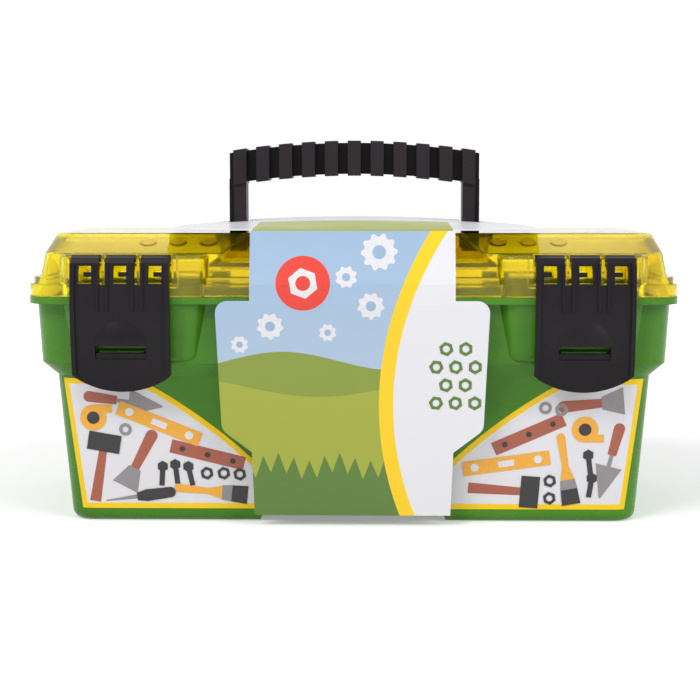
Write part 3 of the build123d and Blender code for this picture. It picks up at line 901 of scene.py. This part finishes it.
def card_board():
    """Coated card: printed fields outside, grey board inside."""
    make = Finish("card_printed_board")
    palette = colours()
    x, y, z = make.axes("XYZ")

    def wave(waves, height, start):
        """A height that rises and falls along x."""
        swing = make.math("SINE", make.math("ADD", make.math("MULTIPLY", x, waves), start))
        return make.math("ADD", z, make.math("MULTIPLY", swing, height))

    # Blue, with two hills and a row of pointed teeth before it
    sky = tuple(palette.sky)
    pale_sky = tuple(SKY_PALER + (1 - SKY_PALER) * part for part in sky[:3]) + (1,)
    colour = make.mix(make.span(z, *SKY_FADE, 0.0, 1.0), pale_sky, sky)
    light, dark = tuple(palette.light_green), tuple(palette.dark_green)
    olive = tuple(b + (a - b) * OLIVE_LIGHTNESS for a, b in zip(light, dark))
    for field, (waves, height, start, top) in zip((olive, light), CARD_HILLS):
        colour = make.mix(make.under(wave(waves, height, start), top), colour, field)
    teeth = make.math("PINGPONG", make.math("ADD", x, TEETH_SHIFT), TEETH_HALF)
    teeth = make.math("MULTIPLY", teeth, TEETH_STEEPNESS)
    teeth = make.math("SUBTRACT", wave(*TEETH_WAVE), teeth)
    colour = make.mix(make.under(teeth, TEETH_TOP), colour, dark)
    # The white field on the right, with a curved yellow band beside it
    reach = make.distance(x, z, BAND_CENTRE)
    for radius, field in zip(BAND_RADII, (palette.yellow, palette.paper)):
        colour = make.mix(make.under(reach, radius), colour, tuple(field))
    # Top panel: white, with a green field behind the fold
    near = make.under(y, PANEL_FIELD_BACK)
    near = make.math("MULTIPLY", near, make.under(make.math("ABSOLUTE", x), PANEL_FIELD_HALF))
    panel = make.mix(near, tuple(palette.paper), light)
    colour = make.mix(make.over(z, PANEL_HEIGHT), colour, panel)
    # Grey board where the card faces backwards or down
    normal = make.node("ShaderNodeSeparateXYZ")
    make.put(make.node("ShaderNodeTexCoord").outputs["Normal"], normal.inputs[0])
    backwards, down = make.over(normal.outputs["Y"], 0.5), make.under(normal.outputs["Z"], -0.5)
    board = make.mix(make.patchy(220, 4), *BOARD)
    make.surface(
        Base_Color=make.mix(make.math("MAXIMUM", backwards, down), colour, board),
        Roughness=make.patchy(30, 4, 0.30, 0.42),
        Normal=make.relief(make.noise(600), 0.2, 0.00005),
    )
    return make.material


class BOX_OT_stage(bpy.types.Operator):
    """Makes the floor, the white surroundings, the lamps and the camera"""

    bl_idname = "toolbox.stage"
    bl_label = "Make the stage"

    def execute(self, context):
        floor()
        surroundings()
        for name, place, spread, power in LAMPS:
            lamp(name, place, spread, power)
        camera()
        context.scene.view_settings.view_transform = "Standard"
        return {"FINISHED"}


def seen(tree):
    """1 for rays that show a surface to the camera, straight, in gloss or through clear plastic."""
    path = tree.nodes.new("ShaderNodeLightPath")
    share = path.outputs["Is Camera Ray"]
    for kind in ("Is Glossy Ray", "Is Transmission Ray"):
        either = tree.nodes.new("ShaderNodeMath")
        either.operation = "MAXIMUM"
        tree.links.new(share, either.inputs[0])
        tree.links.new(path.outputs[kind], either.inputs[1])
        share = either.outputs[0]
    return share


def floor():
    """A white floor that keeps the shadow by the box and fades to pure white farther away."""
    make = Finish("floor_white")
    away = make.node("ShaderNodeVectorMath", operation="LENGTH")
    make.put(make.place, away.inputs[0])
    glow = make.span(away.outputs["Value"], *FLOOR_GLOW_REACH, AMBIENT, 1.0)
    make.surface(
        Base_Color=FLOOR_WHITE,
        Roughness=0.9,
        Emission_Color=(1, 1, 1, 1),
        Emission_Strength=make.math("MULTIPLY", seen(make.tree), glow),
    )
    mesh = bmesh.new()
    bmesh.ops.create_grid(mesh, x_segments=1, y_segments=1, size=FLOOR_SIZE)
    made = built("floor", mesh, make.material)


def surroundings():
    """White where it is seen, and an even pale light otherwise."""
    world = bpy.data.worlds.new("studio")
    bpy.context.scene.world = world
    world.use_nodes = True
    tree = world.node_tree
    ground = tree.nodes["Background"]
    ground.inputs["Color"].default_value = (1, 1, 1, 1)
    level = tree.nodes.new("ShaderNodeMapRange")
    tree.links.new(seen(tree), level.inputs["Value"])
    level.inputs["To Min"].default_value = AMBIENT
    level.inputs["To Max"].default_value = 1.0
    tree.links.new(level.outputs["Result"], ground.inputs["Strength"])


def lamp(name, place, spread, power):
    """A soft rectangular lamp that looks at the middle of the box."""
    data = bpy.data.lights.new(name, "AREA")
    data.shape = "RECTANGLE"
    data.size, data.size_y = spread
    data.energy = power
    made = bpy.data.objects.new(name, data)
    made.location = place
    aim = Vector(LAMP_AIM) - Vector(place)
    made.rotation_euler = aim.to_track_quat("-Z", "Y").to_euler()
    bpy.context.scene.collection.objects.link(made)


def camera():
    """The camera at the photograph's viewing angle."""
    shot = sizes()
    data = bpy.data.cameras.new("camera")
    data.sensor_width = 36
    data.lens = shot.camera_lens
    data.clip_start = 0.05
    made = bpy.data.objects.new("camera", data)
    made.location = (shot.camera_side, -shot.camera_distance, shot.camera_height)
    made.rotation_euler = (math.pi / 2 - shot.camera_tilt, 0, shot.camera_turn)
    bpy.context.scene.collection.objects.link(made)
    bpy.context.scene.camera = made


class BOX_PT_panel(bpy.types.Panel):
    """Lists the steps that dress the box"""

    bl_label = "Toy tool box"
    bl_idname = "BOX_PT_panel"
    bl_space_type = "VIEW_3D"
    bl_region_type = "UI"
    bl_category = "Tool Box"

    def draw(self, context):
        for step in STEPS:
            self.layout.operator(step.bl_idname)
        for name in BoxColours.__annotations__:
            self.layout.prop(context.scene.box_colours, name)
        for name in BoxSizes.__annotations__:
            self.layout.prop(context.scene.box_sizes, name)


STEPS = (
    BOX_OT_stage,
    BOX_OT_tub,
    BOX_OT_lid,
    BOX_OT_black_parts,
    BOX_OT_hinge_pins,
    BOX_OT_labels,
    BOX_OT_card,
)
CLASSES = (BoxColours, BoxSizes) + STEPS + (BOX_PT_panel,)


def register():
    for item in CLASSES:
        bpy.utils.register_class(item)
    bpy.types.Scene.box_colours = bpy.props.PointerProperty(type=BoxColours)
    bpy.types.Scene.box_sizes = bpy.props.PointerProperty(type=BoxSizes)


def unregister():
    del bpy.types.Scene.box_sizes
    del bpy.types.Scene.box_colours
    for item in reversed(CLASSES):
        bpy.utils.unregister_class(item)


def main():
    register()
    bpy.ops.toolbox.stage()
    bpy.ops.toolbox.tub()
    bpy.ops.toolbox.lid()
    bpy.ops.toolbox.black_parts()
    bpy.ops.toolbox.hinge_pins()
    bpy.ops.toolbox.labels()
    bpy.ops.toolbox.card()


if __name__ == "__main__":
    main()
